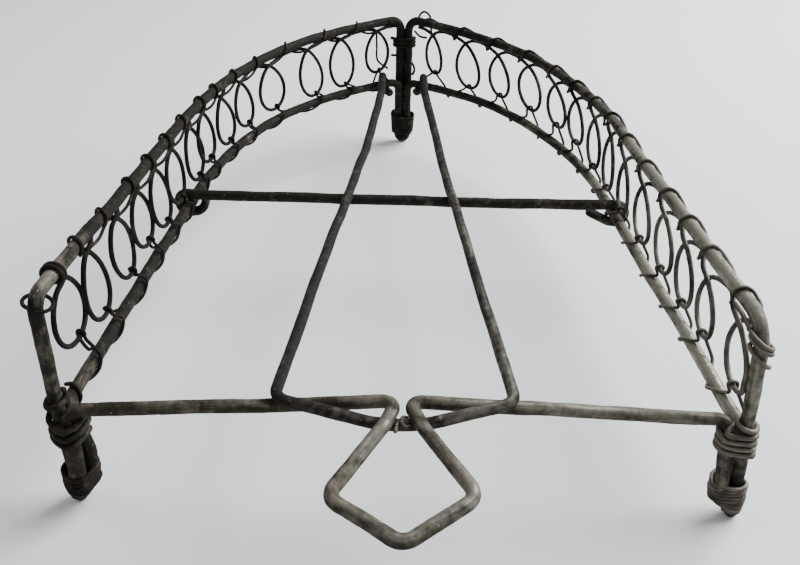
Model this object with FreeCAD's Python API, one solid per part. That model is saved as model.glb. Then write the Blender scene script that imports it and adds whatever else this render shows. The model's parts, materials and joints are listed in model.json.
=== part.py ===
import FreeCAD, Part
import math
import os

from FreeCAD import Vector

os.makedirs("parts", exist_ok=True)

# Wirework stand for a flat iron. X runs across the stand, Y from the handle at the front to the
# pointed back, Z up. Everything is laid out from the line of the two front legs (y = 0) and the
# table (z = 0), and moved by ORIGIN at the end, so that the part's own origin is the middle of
# its box, on the table. Lengths are in millimetres.

# Wire gauges (diameters)
FRAME_WIRE = 2.8
HANDLE_WIRE = 2.7
SUPPORT_WIRE = 2.4
LOOP_WIRE = 1.1
LACING_WIRE = 0.75
BINDING_WIRE = 1.2
FOOT_WIRE = 0.9

# Plan of the side fences: half widths, and places along the stand
FRONT_HALF_WIDTH = 65.0
SHOULDER = Vector(55.0, 115.4, 0)
NOSE = Vector(33.0, 167.5, 0)
POST_Y = 187.8
SHOULDER_RADIUS = 146.0
NOSE_RADIUS = 106.0
LOWER_NOSE_RADIUS = 94.0

# Heights of the wire centres above the table
LOWER_RAIL_Z = 24.7
TOP_RAIL_Z = 46.6
LEFT_CORNER_Z = 49.9
RIGHT_CORNER_Z = 47.4
LEFT_CORNER_RADIUS = 3.2
RIGHT_CORNER_RADIUS = 6.0

# How far the front legs lean out at the foot, at the lower rail and at the top corner
LEFT_SPLAY = (0.0, 0.1, 0.0)
RIGHT_SPLAY = (4.2, 2.0, 0.0)

# Front bar with its diamond handle, and the two wires that carry the iron
NECK_Z = 27.5
NECK_Y = 1.15
HANDLE_TIP = Vector(1.0, -33.3, 26.5)
HANDLE_HALF_WIDTH = 13.0
HANDLE_SIDE_Y = -23.4
CROSSBAR_Y = 84.2
ARM_BACK_X = 7.4

# Loops of the fences from the front leg backwards: the gap from the loop before, the height of
# the loop's bottom, and its width. They were bent by eye, so no two are alike.
LEFT_LOOPS = ((13, 32, 15), (13, 28.7, 13.5), (16, 29, 14), (13, 29.8, 14), (13, 28, 14.5),
              (12, 28.5, 15), (16, 27.5, 15), (9.5, 28.7, 14), (14.5, 28, 13.5),
              (12.5, 28.8, 12.5), (16, 28.5, 15), (20, 27.2, 13), (14.5, 27, 12.5), (15, 29, 11))
RIGHT_LOOPS = ((5, 30, 12.5), (17, 30, 11.5), (12.5, 29.5, 13), (13.5, 29.8, 14), (15.5, 29, 14),
               (16, 28.3, 12), (14.5, 28, 13), (13, 28.6, 12), (13.5, 30.2, 12.5),
               (12.5, 30.5, 13), (16, 30, 14.5), (16, 29.2, 11.5), (15, 28, 12), (15.5, 29.5, 8.5))
LEFT_LEAN = -5.5
RIGHT_LEAN = 2.1
LEFT_CROSSING_DROP = (2.8, 2.8)
RIGHT_CROSSING_DROP = (4.8, 2.8)
FENCE_LENGTH = 200.0
STRAND_OFFSET = 0.8

# The feet: height of the lower bindings, and of the sleeve of wire on the back post
FOOT_BINDING_TOP = 9.9
FOOT_BINDING_BOTTOM = 1.3
COLLAR_BOTTOM = 4.8
COLLAR_TOP = 12.4

FRAME_R = FRAME_WIRE / 2
LOOP_R = LOOP_WIRE / 2
LACING_R = LACING_WIRE / 2
POST_X = FRAME_R + 0.05
POST_FRONT_Y = POST_Y - FRAME_WIRE - 0.05
ORIGIN = Vector(-1.7, -78.4, 0)
UP = Vector(0, 0, 1)
ROUNDING = 0.45
SHORTEST_RUN = 0.001


def rounded_path(points, radii=None):
    """Straight runs joined by tangent arcs. Without radii each arc takes what its runs allow."""
    edges = []
    start = points[0]
    for index in range(1, len(points) - 1):
        corner = points[index]
        back = points[index - 1] - corner
        ahead = points[index + 1] - corner
        shorter = min(back.Length, ahead.Length)
        back.normalize()
        ahead.normalize()
        half = back.getAngle(ahead) / 2
        radius = radii[index - 1] if radii else ROUNDING * shorter * math.tan(half)
        reach = radius / math.tan(half)
        bisector = (back + ahead).normalize()
        centre = corner + bisector * (radius / math.sin(half))
        first = corner + back * reach
        last = corner + ahead * reach
        if (first - start).Length > SHORTEST_RUN:
            edges.append(Part.LineSegment(start, first).toShape())
        edges.append(Part.Arc(first, centre - bisector * radius, last).toShape())
        start = last
    edges.append(Part.LineSegment(start, points[-1]).toShape())
    return Part.Wire(edges)


def wire_solid(path, diameter):
    """A round wire of the given diameter along a path."""
    first = path.OrderedEdges[0]
    start = first.valueAt(first.FirstParameter)
    along = first.tangentAt(first.FirstParameter)
    section = Part.Wire([Part.Circle(start, along, diameter / 2).toShape()])
    solid = path.makePipeShell([section], True, False)
    expected = math.pi * diameter ** 2 / 4 * path.Length
    if not solid.isValid() or abs(solid.Volume / expected - 1) > 0.01:
        print("check sweep: valid", solid.isValid(), "volume", solid.Volume, "of", expected)
    return solid


def stood_on_table(solid):
    """The part of a solid above the table, which leaves a worn flat under each foot."""
    size = 400
    below = Part.makeBox(size, size, size, Vector(-size / 2, -size / 2, -size))
    return solid.cut(below)


def export(name, solids):
    """Write one node as a STEP file, moved to the part's own origin."""
    solids = solids if isinstance(solids, list) else [solids]
    shape = solids[0] if len(solids) == 1 else Part.makeCompound(solids)
    shape = shape.copy()
    shape.translate(ORIGIN)
    shape.exportStep(f"parts/{name}.step")
    box = shape.BoundBox
    print(f"{name:26s} solids {len(shape.Solids):2d} volume {shape.Volume:8.1f}"
          f"  x {box.XMin:7.2f} {box.XMax:7.2f}  y {box.YMin:7.2f} {box.YMax:7.2f}"
          f"  z {box.ZMin:6.2f} {box.ZMax:6.2f}")


def between(place, places, values):
    """Straight-line reading of a short table, held level beyond its ends."""
    if place <= places[0]:
        return values[0]
    for start, end, first, last in zip(places, places[1:], values, values[1:]):
        if place <= end:
            return first + (last - first) * (place - start) / (end - start)
    return values[-1]


class Rail:
    """A rail's centre line, read by distance from the line of the front legs."""

    def __init__(self, side, points, radii):
        self.side = side
        self.front = points[0].y
        self.path = rounded_path(points, radii)

    def frame(self, distance):
        """Point, direction towards the back, and outward direction at a distance."""
        edges = self.path.OrderedEdges
        distance -= self.front
        for edge in edges:
            if distance <= edge.Length or edge is edges[-1]:
                break
            distance -= edge.Length
        where = edge.getParameterByLength(distance)
        along = edge.tangentAt(where)
        outward = along.cross(UP) * self.side
        return edge.valueAt(where), along, outward.normalize()

    def spot(self, distance, out, up):
        """A point beside the rail: outward and upward from its centre."""
        centre, along, outward = self.frame(distance)
        return centre + outward * out + UP * up

    def spot_at_height(self, distance, out, height):
        """A point beside the rail at a height above the table."""
        spot = self.spot(distance, out, 0)
        return Vector(spot.x, spot.y, height)

    def around(self, distance, angle, radius):
        """A point on a circle round the rail: 0 below, 90 inner, 180 above, 270 outer side."""
        turn = math.radians(angle)
        return self.spot(distance, -radius * math.sin(turn), -radius * math.cos(turn))


def mirrored(point, side):
    return Vector(point.x * side, point.y, point.z)


def top_rail_points(side):
    """Corner, shoulder, nose and post end of a top rail."""
    corner_z = RIGHT_CORNER_Z if side > 0 else LEFT_CORNER_Z
    points = [
        Vector(FRONT_HALF_WIDTH, 0, corner_z),
        Vector(SHOULDER.x, SHOULDER.y, TOP_RAIL_Z),
        Vector(NOSE.x, NOSE.y, TOP_RAIL_Z),
        Vector(POST_X, POST_Y, TOP_RAIL_Z),
    ]
    return [mirrored(point, side) for point in points]


def lower_rail_points(side):
    """Leg, shoulder, nose and post end of a lower rail, which ends in front of the post."""
    front = Vector(65.4, 1.0, LOWER_RAIL_Z) if side > 0 else Vector(63.8, 2.0, LOWER_RAIL_Z)
    points = [
        front,
        Vector(SHOULDER.x, SHOULDER.y, LOWER_RAIL_Z),
        Vector(NOSE.x, NOSE.y, LOWER_RAIL_Z),
        Vector(POST_X, POST_FRONT_Y, LOWER_RAIL_Z),
    ]
    return [mirrored(point, side) for point in points]


TOP_RADII = [SHOULDER_RADIUS, NOSE_RADIUS]
LOWER_RADII = [SHOULDER_RADIUS, LOWER_NOSE_RADIUS]
TOP_RAILS = {side: Rail(side, top_rail_points(side), TOP_RADII) for side in (-1, 1)}
LOWER_RAILS = {side: Rail(side, lower_rail_points(side), LOWER_RADII) for side in (-1, 1)}


def splay(side, height):
    """How far a front leg leans outwards at a height."""
    if side > 0:
        return between(height, (0, LOWER_RAIL_Z, RIGHT_CORNER_Z), RIGHT_SPLAY)
    return between(height, (0, LOWER_RAIL_Z, LEFT_CORNER_Z), LEFT_SPLAY)


def leg_point(side, inset, y, height):
    """A point in a front leg, inset from the leg's outer wire."""
    return Vector(side * (FRONT_HALF_WIDTH - inset + splay(side, height)), y, height)


def top_frame_wire():
    """One wire: left foot, left top rail, down the post and back up it, right top rail, foot."""
    turn_z = FRAME_R - 0.2
    end_z = -2.0
    left = top_rail_points(-1)
    right = top_rail_points(1)
    points = [leg_point(-1, 0.2, 0.8, end_z), leg_point(-1, 0, 0, LOWER_RAIL_Z)]
    points += left
    points += [Vector(-POST_X, POST_Y, turn_z), Vector(POST_X, POST_Y, turn_z)]
    points += reversed(right)
    points += [leg_point(1, 0, 0, LOWER_RAIL_Z), leg_point(1, 0, 0, end_z)]
    post_bend = 4.0
    radii = [60.0, LEFT_CORNER_RADIUS, SHOULDER_RADIUS, NOSE_RADIUS, post_bend, POST_X, POST_X]
    radii += [post_bend, NOSE_RADIUS, SHOULDER_RADIUS, RIGHT_CORNER_RADIUS, 30.0]
    return stood_on_table(wire_solid(rounded_path(points, radii), FRAME_WIRE))


def lower_rail(side):
    """A lower rail with its front end bent down in the leg and its back end down the post."""
    if side > 0:
        points = [leg_point(1, 1.6, 0.8, 7.4), leg_point(1, 2.0, 0.9, 16.0)]
        radii = [20.0, 2.4]
    else:
        points = [Vector(-62.2, 0.9, 6.4), Vector(-61.0, 1.0, 12.6), Vector(-62.5, 1.6, 19.6)]
        radii = [7.0, 12.0, 2.6]
    points += lower_rail_points(side)
    points += [mirrored(Vector(POST_X, POST_FRONT_Y, 6.0), side)]
    return wire_solid(rounded_path(points, radii + LOWER_RADII + [3.4]), FRAME_WIRE)


def handle_bar():
    """The front bar: one wire from leg to leg, drawn out into a diamond handle midway."""
    corner_z = (NECK_Z + HANDLE_TIP.z) / 2
    middle_x = HANDLE_TIP.x - 0.2
    points = [
        Vector(-63.3, -2.1, 7.6),
        Vector(-62.9, -1.0, 25.5),
        Vector(-28.0, 0.5, 25.9),
        Vector(-0.1, NECK_Y, NECK_Z),
        Vector(-2.3, -5.4, NECK_Z),
        Vector(middle_x - HANDLE_HALF_WIDTH, HANDLE_SIDE_Y, corner_z),
        HANDLE_TIP,
        Vector(middle_x + HANDLE_HALF_WIDTH, HANDLE_SIDE_Y + 0.6, corner_z),
        Vector(4.7, -6.2, NECK_Z),
        Vector(1.7, NECK_Y, NECK_Z),
        Vector(30.0, 1.2, 26.0),
        leg_point(1, 3.2, 1.4, LOWER_RAIL_Z),
        leg_point(1, 3.1, -0.9, 8.0),
    ]
    radii = [2.6, 90.0, 2.1, 16.0, 3.2, 3.0, 3.2, 16.0, 2.1, 90.0, 2.6]
    return wire_solid(rounded_path(points, radii), HANDLE_WIRE)


def middle_crossbar():
    """The straight bar behind it, hooked over and under the lower rails at both ends."""
    rail_x = 57.7
    hook = FRAME_WIRE + 0.05
    over_z = LOWER_RAIL_Z + hook
    under_z = LOWER_RAIL_Z - hook
    left = [
        Vector(hook - rail_x, CROSSBAR_Y + 2.3, LOWER_RAIL_Z + 1.0),
        Vector(hook - rail_x, CROSSBAR_Y + 1.8, under_z),
        Vector(-rail_x - hook, CROSSBAR_Y + 0.8, under_z),
        Vector(-rail_x - hook, CROSSBAR_Y, over_z),
    ]
    right = [
        Vector(rail_x + hook, CROSSBAR_Y, over_z),
        Vector(rail_x + hook, CROSSBAR_Y + 0.8, under_z),
        Vector(rail_x - 2.2, CROSSBAR_Y + 1.8, under_z),
        Vector(rail_x - 5.2, CROSSBAR_Y + 2.3, LOWER_RAIL_Z - 1.3),
    ]
    radii = [2.7] * 6
    return wire_solid(rounded_path(left + right, radii), FRAME_WIRE)


def heart_support():
    """The long V that carries the iron: over the bars, under the handle, hooked on at the back."""
    rail_y = 181.6
    hook = (FRAME_WIRE + SUPPORT_WIRE) / 2 + 0.05
    over_z = LOWER_RAIL_Z + hook
    under_z = LOWER_RAIL_Z - hook
    arm_z = LOWER_RAIL_Z + FRAME_WIRE + hook + 0.1
    bend_z = 29.0
    points = []
    for side, front_x, end_z in ((-1, 23.4, under_z), (1, 22.2, under_z + 0.8)):
        half = [
            Vector(ARM_BACK_X - 3.0, rail_y - 1.9, end_z),
            Vector(ARM_BACK_X - 0.4, rail_y + hook + 0.4, under_z),
            Vector(ARM_BACK_X, rail_y + hook + 0.4, over_z),
            Vector(ARM_BACK_X, rail_y - 14.0, over_z + 0.4),
            Vector(ARM_BACK_X + 3.6, 108.0, arm_z),
            Vector(front_x - 7.4, 66.0, arm_z),
            Vector(front_x, -0.6, bend_z),
            Vector(12.0, -3.2, 28.0),
        ]
        half = [mirrored(point, side) for point in half]
        if side < 0:
            points += half + [Vector(0.7, -4.4, 25.0)]
        else:
            points += list(reversed(half))
    radii = [2.2, 2.6, 60.0, 90.0, 60.0, 3.0, 40.0]
    radii = radii + [30.0] + list(reversed(radii))
    return wire_solid(rounded_path(points, radii), SUPPORT_WIRE)


def loop_places(side):
    """Distance of each loop's middle from the front leg, its bottom height and its width."""
    places = []
    distance = 0
    for gap, bottom, width in RIGHT_LOOPS if side > 0 else LEFT_LOOPS:
        distance += gap
        places.append((distance, bottom, width))
    return places


def crossing_place(side, middle):
    """Where a loop crosses itself: left loops lean forward, most of all midway, right ones back."""
    if side < 0:
        return middle + LEFT_LEAN * (1 - ((middle - 80) / 120) ** 2)
    return middle + RIGHT_LEAN


def loop_wire(side):
    """A fence's loop wire, run under the top rail and dropped in a crossed loop at each pitch.

    The wire is one length. It is cut into touching spans, one for each loop."""
    rail = TOP_RAILS[side]
    run_drop = FRAME_R + LOOP_R + 0.05
    drops = RIGHT_CROSSING_DROP if side > 0 else LEFT_CROSSING_DROP
    places = loop_places(side)
    middles = [middle for middle, bottom, width in places]
    gaps = [10.0] + [after - before for before, after in zip(middles, middles[1:])] + [11.0]
    turns = []
    for index, (middle, bottom, width) in enumerate(places):
        lean = crossing_place(side, middle) - middle
        drop = between(middle, (0, FENCE_LENGTH), drops)
        depth = rail.spot(middle + lean, 0, -drop).z - bottom
        points = []
        for angle in range(0, 360, 30):
            turn = math.radians(angle)
            gap = gaps[index] if angle < 180 else gaps[index + 1]
            swing = ((width - LOOP_WIRE) / 2 + 0.18 * gap) / 0.91
            share = (1 + math.cos(turn)) / 2 / 0.87
            along = middle + gap * (turn / math.pi - 1) / 2 + swing * math.sin(turn) + lean * share
            along = max(along, 1.2)
            height = min(bottom + depth * share, rail.spot(along, 0, -run_drop).z)
            points.append(rail.spot_at_height(along, STRAND_OFFSET * math.cos(turn / 2), height))
        turns.append(points)
    ends = [following[0] for following in turns[1:]]
    ends.append(rail.spot(middles[-1] + 8, 0, -run_drop))
    return [wire_solid(rounded_path(points + [end]), LOOP_WIRE) for points, end in zip(turns, ends)]


def top_lacing(side):
    """Thin wire wound over the top rail and under the loop wire, once round at each loop."""
    rail = TOP_RAILS[side]
    snug = FRAME_R + LACING_R + 0.06
    under = FRAME_R + LOOP_WIRE + LACING_R + 0.1
    if side > 0:
        knots = [crossing_place(1, place[0]) + 3.0 for place in reversed(loop_places(1))] + [2.0]
        turn = [(0, 55, snug + 0.25), (0.03, 95, snug + 0.1), (0.06, 140, snug), (0.09, 185, snug),
                (0.14, 225, snug), (0.26, 255, snug + 0.1), (0.42, 275, snug + 0.3),
                (0.58, 305, snug + 0.5), (0.74, 345, under), (0.90, 385, under)]
        last_turn = [(0, 50, snug), (0, 120, snug)]
    else:
        knots = [place[0] + 3.9 for place in loop_places(-1)]
        turn = [(0, 50, snug), (0.06, 95, snug), (0.12, 140, snug), (0.18, 185, snug),
                (0.24, 230, snug), (0.30, 275, snug + 0.4), (0.38, 320, under),
                (0.50, 360, under), (0.72, 388, under - 0.3)]
        last_turn = [(0, 50, snug), (0, 120, snug)]
    points = []
    for knot, following in zip(knots, knots[1:]):
        for share, angle, radius in turn:
            points.append(rail.around(knot + share * (following - knot), angle, radius))
    for share, angle, radius in last_turn:
        points.append(rail.around(knots[-1], angle, radius))
    return wire_solid(rounded_path(points), LACING_WIRE)


def bottom_lacing(side):
    """Thin wire wound round the lower rail, with a hook round the bottom of each loop."""
    hoop_rail = TOP_RAILS[side]
    rail = LOWER_RAILS[side]
    snug = FRAME_R + LACING_R + 0.06
    eye = LOOP_R + LACING_R + 0.06
    places = list(reversed(loop_places(side)))
    first = places[0][0] + (4.4 if side > 0 else -3.4)
    points = [rail.around(first + 0.8 * side, 100, snug), rail.around(first, 160, snug)]
    for index, (middle, bottom, width) in enumerate(places):
        following = places[index + 1][0] if index + 1 < len(places) else middle - 11
        seat = middle + (0.3 if side > 0 else 1.2)
        rise = 0.05 if side > 0 else 0.15
        for step in range(4):
            turned = math.radians(150 - 60 * step)
            points.append(hoop_rail.spot_at_height(seat - 0.15 * step, side * eye * math.cos(turned),
                                                   bottom + rise + eye * math.sin(turned)))
        if side > 0:
            start = middle - (4.5 if index == 0 else 2.0)
            end = min(following + 6.0, middle - 4.5)
            turn = [(0, 255, snug + 0.4), (0.12, 285, snug + 0.1), (0.34, 325, snug),
                    (0.56, 365, snug), (0.78, 405, snug), (1.0, 452, snug + 0.3)]
        else:
            start = middle + 2.2
            end = following + 3.4
            turn = [(0, 135, snug + 0.5), (0.08, 100, snug + 0.1), (0.2, 55, snug),
                    (0.36, 10, snug), (0.55, -40, snug), (0.75, -85, snug + 0.1),
                    (0.94, -125, snug + 0.4)]
        for share, angle, radius in turn:
            points.append(rail.around(max(start + share * (end - start), 2.6), angle, radius))
        if side > 0 and index + 1 < len(places):
            points.append(rail.around(end - 2.4, 500, snug + 0.05))
            points.append(rail.around(end - 4.0, 545, snug + 0.5))
    if side < 0:
        for step in range(6):
            points.append(rail.around(5.6 - 0.5 * step, -150 - 40 * step, snug))
    return wire_solid(rounded_path(points), LACING_WIRE)


def wound(centres, radius, heights, start, tilt=0.0, tilt_angle=0.0, swell=((0, 1), (1, 1))):
    """Points of a wire wound round a bundle of upright wires, lying on the outer ones.

    centres(height) gives the bundle's wire centres. heights pairs turns made with height, and
    swell pairs the share of the length with a scale of the outline."""
    made, levels = zip(*heights)
    shares, scales = zip(*swell)
    steps = round(made[-1] * 10)
    points = []
    for step in range(steps + 1):
        turned = made[-1] * step / steps
        angle = start + 2 * math.pi * turned
        height = between(turned, made, levels) + tilt * math.cos(angle - tilt_angle)
        reach = radius * between(step / steps, shares, scales)

        def support(way_angle):
            return max(x * math.cos(way_angle) + y * math.sin(way_angle)
                       for x, y in centres(height)) + reach

        lean = (support(angle + 0.12) - support(angle - 0.12)) / 0.24
        out = support(angle)
        points.append(Vector(out * math.cos(angle) - lean * math.sin(angle),
                             out * math.sin(angle) + lean * math.cos(angle), height))
    return points


def leg_bundle(side, joined):
    """Centres of the wires in a front leg. Above joined only the leg's own wire counts."""
    def centres(height):
        outer = leg_point(side, 0, 0, height)
        if side > 0:
            others = [leg_point(1, 3.1, 0.2, height), leg_point(1, 2.0, 0.9, height)]
        else:
            others = [Vector(-63.1, -1.8, height), Vector(-62.3, 1.3, height)]
        share = between(joined - height, (0, 1.2), (0, 1))
        bundle = [outer] + [outer + (other - outer) * share for other in others]
        return [(centre.x, centre.y) for centre in bundle]
    return centres


def leg_binding(side):
    """Heavy turns that tie the rail and bar ends to a front leg, with a cut stub."""
    radius = FRAME_R + BINDING_WIRE / 2 + 0.02
    if side > 0:
        points = wound(leg_bundle(1, 24.4), radius, ((0, 25.2), (1.1, 23.6), (4.8, 17.8)),
                       start=3.0, tilt=0.55, tilt_angle=2.4)
        points.append(points[-1] + Vector(-1.5, -0.8, -0.5))
    else:
        points = wound(leg_bundle(-1, 24.6), radius,
                       ((0, 27.8), (1.0, 26.6), (1.6, 22.6), (3.9, 18.4)),
                       start=0.7, tilt=0.8, tilt_angle=0.2)
        points.append(points[-1] + Vector(-1.4, -0.6, -0.4))
    return wire_solid(rounded_path(points), BINDING_WIRE)


def foot_binding(side):
    """A coil of finer wire round the wire ends at a front foot, drawn in to a blunt tip."""
    bundle = leg_bundle(side, 25)

    def centres(height):
        tip = leg_point(1, 0.1, 0.2, height) if side > 0 else leg_point(-1, 0.3, 0.8, height)
        pull = between(height, (2.4, 5.4), (0, 1))
        return [(tip.x + (x - tip.x) * pull, tip.y + (y - tip.y) * pull)
                for x, y in bundle(height)]

    points = wound(centres, FRAME_R + FOOT_WIRE / 2,
                   ((0, FOOT_BINDING_TOP), (9.4, FOOT_BINDING_BOTTOM)), start=1.0, tilt=0.35,
                   tilt_angle=0.8, swell=((0, 1.04), (0.72, 1.04), (1, 0.84)))
    return wire_solid(rounded_path(points), FOOT_WIRE)


def post_top_binding():
    """A heavier binding high on the two wires of the back post, with a cut stub."""
    def centres(height):
        return [(-POST_X, POST_Y), (POST_X, POST_Y)]

    points = wound(centres, FRAME_R + BINDING_WIRE / 2 + 0.1, ((0, 40.2), (2.6, 37.0)), start=3.6,
                   tilt=0.3)
    stub = points[0] + Vector(-1.6, -1.2, 0.8)
    return wire_solid(rounded_path([stub] + points), BINDING_WIRE)


def post_back_wire():
    """A loose thin wire that passes behind the post."""
    points = [Vector(-4.5, POST_Y - 1.2, 33.8), Vector(-3.6, POST_Y + 0.6, 33.2),
              Vector(-1.6, POST_Y + 2.1, 32.6), Vector(1.6, POST_Y + 2.1, 31.2),
              Vector(3.5, POST_Y + 0.4, 29.8), Vector(3.9, POST_Y - 0.9, 28.4),
              Vector(3.2, POST_Y - 1.9, 27.0)]
    return wire_solid(rounded_path(points), FOOT_WIRE)


def back_foot_collar():
    """A close coil of fine wire that holds the rail ends to the foot of the post."""
    def centres(height):
        return [(x, y) for x in (-POST_X, POST_X) for y in (POST_Y, POST_FRONT_Y)]

    top = COLLAR_TOP - LACING_R
    bottom = COLLAR_BOTTOM + LACING_R
    turns = (top - bottom) / (LACING_WIRE * 1.04)
    points = wound(centres, FRAME_R + LACING_R + 0.15, ((0, top), (turns, bottom)), start=1.0,
                   swell=((0, 1.3), (1, 1.08)))
    points.append(points[-1] + Vector(-1.0, -0.8, -0.2))
    return wire_solid(rounded_path(points), LACING_WIRE)


def coil(start, end, radius, turns, first_angle=0.0, growth=0.0):
    """Points of a coil wound about the line from start to end."""
    axis = (end - start).normalize()
    side_way = axis.cross(Vector(0, 1, 0) if abs(axis.y) < 0.7 else Vector(1, 0, 0)).normalize()
    other_way = axis.cross(side_way)
    count = round(turns * 10)
    points = []
    for step in range(count + 1):
        share = step / count
        turn = first_angle + 2 * math.pi * turns * share
        reach = radius + growth * share
        points.append(start + (end - start) * share + side_way * (reach * math.cos(turn))
                      + other_way * (reach * math.sin(turn)))
    return points


def corner_wrap(side):
    """The end of a top lacing wire, wound round the front corner."""
    snug = FRAME_R + FOOT_WIRE / 2 + 0.04
    if side < 0:
        rail = TOP_RAILS[-1]
        points = coil(rail.spot(7.5, 0, 0), rail.spot(9.8, 0, 0), snug, 2.2)
        return wire_solid(rounded_path(points), FOOT_WIRE)

    def centres(height):
        rise = max(0.0, height - RIGHT_CORNER_Z + RIGHT_CORNER_RADIUS)
        back = RIGHT_CORNER_RADIUS - math.sqrt(RIGHT_CORNER_RADIUS ** 2 - rise ** 2)
        leg = leg_point(1, 0, back, height)
        return [(leg.x, leg.y)]

    rail = TOP_RAILS[1]
    lead = [rail.around(8.6, 70, snug + 0.1), rail.around(5.6, 75, snug + 0.5)]
    points = wound(centres, snug + 0.08, ((0, 44.2), (1.7, 42.6), (2.5, 39.8)), start=2.84,
                   tilt=1.1, tilt_angle=math.pi)
    return wire_solid(rounded_path(lead + points), FOOT_WIRE)


def corner_ring():
    """A loose ring of thin wire that hangs on the left front corner."""
    centre = Vector(-FRONT_HALF_WIDTH + 0.3, 0.8, 48.0)
    points = coil(centre, centre + Vector(0.15, 0, 0.7), 2.4, 0.95, math.pi / 2, growth=0.3)
    return wire_solid(rounded_path(points), LACING_WIRE)


def handle_tie():
    """A scrap of thin wire wedged on top of the V, between the handle's two necks."""
    points = [Vector(-0.5, -6.3, 26.2), Vector(-0.3, -5.2, 26.5), Vector(0.2, -4.0, 26.8),
              Vector(1.2, -3.4, 26.8), Vector(2.2, -3.8, 26.7), Vector(2.3, -4.8, 26.5),
              Vector(1.4, -5.2, 26.6), Vector(0.7, -4.6, 27.1), Vector(1.0, -3.2, 27.1),
              Vector(1.9, -2.4, 26.2)]
    return wire_solid(rounded_path(points), FOOT_WIRE)


def apex_tail(side):
    """Loose ends of lacing wire beside the post."""
    if side < 0:
        points = [Vector(-17.0, 181.2, 43.6), Vector(-10.4, 182.6, 44.2),
                  Vector(-9.6, 182.4, 39.0), Vector(-9.2, 182.0, 33.4), Vector(-5.4, 181.4, 30.6)]
        return wire_solid(rounded_path(points), LACING_WIRE)
    stub = [Vector(3.4, 184.6, 43.6), Vector(5.4, 183.0, 42.2), Vector(8.0, 182.0, 41.9)]
    arc = [Vector(5.2, 186.4, 45.4), Vector(5.0, 187.0, 48.0), Vector(6.6, 186.4, 49.8),
           Vector(8.6, 185.2, 49.0), Vector(9.4, 183.8, 46.6), Vector(9.5, 183.0, 43.6),
           Vector(10.4, 182.8, 42.6), Vector(11.2, 182.6, 43.6)]
    return [wire_solid(rounded_path(points), LACING_WIRE) for points in (stub, arc)]


def build():
    export("top_frame_wire", top_frame_wire())
    export("handle_bar", handle_bar())
    export("middle_crossbar", middle_crossbar())
    export("heart_support", heart_support())
    export("handle_tie", handle_tie())
    for side, name in ((-1, "left"), (1, "right")):
        export(f"{name}_lower_rail", lower_rail(side))
        export(f"{name}_loop_wire", loop_wire(side))
        export(f"{name}_top_lacing", top_lacing(side))
        export(f"{name}_bottom_lacing", bottom_lacing(side))
        export(f"{name}_corner_wrap", corner_wrap(side))
        export(f"{name}_leg_binding", leg_binding(side))
        export(f"{name}_foot_binding", foot_binding(side))
        export(f"{name}_apex_tail", apex_tail(side))
    export("left_corner_ring", corner_ring())
    export("post_top_binding", post_top_binding())
    export("post_joint_binding", post_back_wire())
    export("back_foot_collar", back_foot_collar())


build()
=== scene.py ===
"""Looks of a wirework flat iron stand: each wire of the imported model, bent by hand and aged.

Lengths are in millimetres, in the layout of the design: x from the back post, y from the line of the
front legs, z from the table. `placed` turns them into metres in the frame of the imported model."""
import json
import math

import bpy
import numpy as np
from mathutils import Matrix, Vector


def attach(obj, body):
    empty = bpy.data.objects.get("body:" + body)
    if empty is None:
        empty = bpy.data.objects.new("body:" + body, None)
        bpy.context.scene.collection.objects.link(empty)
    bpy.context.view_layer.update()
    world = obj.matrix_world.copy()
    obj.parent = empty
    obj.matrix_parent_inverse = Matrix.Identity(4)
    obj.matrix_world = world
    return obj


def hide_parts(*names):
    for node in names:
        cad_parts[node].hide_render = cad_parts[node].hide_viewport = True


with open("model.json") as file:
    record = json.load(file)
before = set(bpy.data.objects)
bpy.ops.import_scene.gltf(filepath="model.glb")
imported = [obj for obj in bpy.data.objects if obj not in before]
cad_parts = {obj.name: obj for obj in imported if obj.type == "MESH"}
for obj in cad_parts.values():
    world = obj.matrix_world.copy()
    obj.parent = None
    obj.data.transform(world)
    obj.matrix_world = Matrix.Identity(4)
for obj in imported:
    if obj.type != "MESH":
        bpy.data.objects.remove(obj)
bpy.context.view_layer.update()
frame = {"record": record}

# ---------------------------------------------------------------- driving dimensions

MOUNTS = {mount["name"]: np.array(mount["pos_m"]) * 1000 for mount in frame["record"]["mounts"]}
LEFT_FOOT = MOUNTS["front_left_foot"]
POST_FOOT = MOUNTS["back_foot"]
LAYOUT_ORIGIN = np.array((POST_FOOT[0], LEFT_FOOT[1], 0.0))
FRONT_HALF_WIDTH = POST_FOOT[0] - LEFT_FOOT[0]
POST_Y = POST_FOOT[1] - LEFT_FOOT[1]

# Wire gauges (diameters)
FRAME_WIRE = 2.8
HANDLE_WIRE = 2.7
SUPPORT_WIRE = 2.4
LOOP_WIRE = 1.1
LACING_WIRE = 0.75
BINDING_WIRE = 1.2
FOOT_WIRE = 0.9
FRAME_R = FRAME_WIRE / 2
LOOP_R = LOOP_WIRE / 2
LACING_R = LACING_WIRE / 2

# Plan and heights of the two fences
SHOULDER = (55.0, 115.4)
NOSE = (33.0, 167.5)
SHOULDER_RADIUS = 146.0
NOSE_RADIUS = 106.0
LOWER_NOSE_RADIUS = 94.0
LOWER_RAIL_Z = 24.7
TOP_RAIL_Z = 46.6
LEFT_CORNER_Z = 49.9
RIGHT_CORNER_Z = 47.4
LEFT_CORNER_RADIUS = 3.2
RIGHT_CORNER_RADIUS = 6.0
POST_X = FRAME_R + 0.05
POST_FRONT_Y = POST_Y - FRAME_WIRE - 0.05

# How far the front legs lean out at the foot, at the lower rail and at the top corner
LEFT_SPLAY = (0.0, 0.1, 0.0)
RIGHT_SPLAY = (4.2, 2.0, 0.0)

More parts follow.
